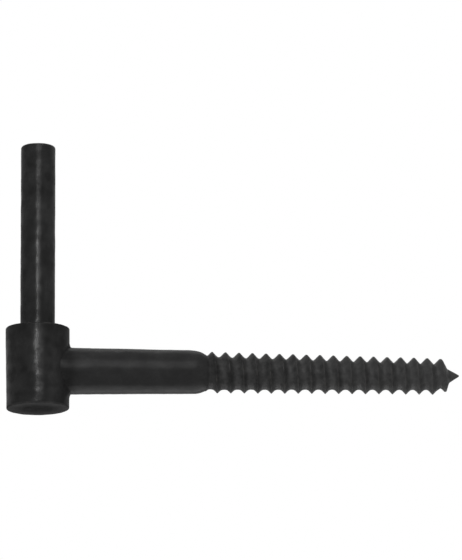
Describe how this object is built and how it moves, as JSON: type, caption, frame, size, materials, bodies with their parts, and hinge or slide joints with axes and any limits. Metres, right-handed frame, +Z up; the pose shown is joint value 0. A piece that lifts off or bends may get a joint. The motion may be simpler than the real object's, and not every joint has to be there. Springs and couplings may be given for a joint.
{
  "type": "gate hinge pin",
  "caption": "Upright round pin on a round hub, with a tapered lag screw out of the hub's side, to hang a gate from a timber post.",
  "frame": {"origin": "on the axis of the upright pin, in the plane of the hub's top face, which the strap of the gate rests on", "axes": "+Z up the pin to its free end, +X along the lag screw from the hub to its point, +Y across both to make a right-handed set"},
  "size_m": [0.1707, 0.024, 0.1013],
  "materials": {
    "black_finish": "thin semi-gloss black coat over forged steel"
  },
  "bodies": {
    "root": {"gate_hinge_pin": "black_finish"}
  },
  "joints": []
}
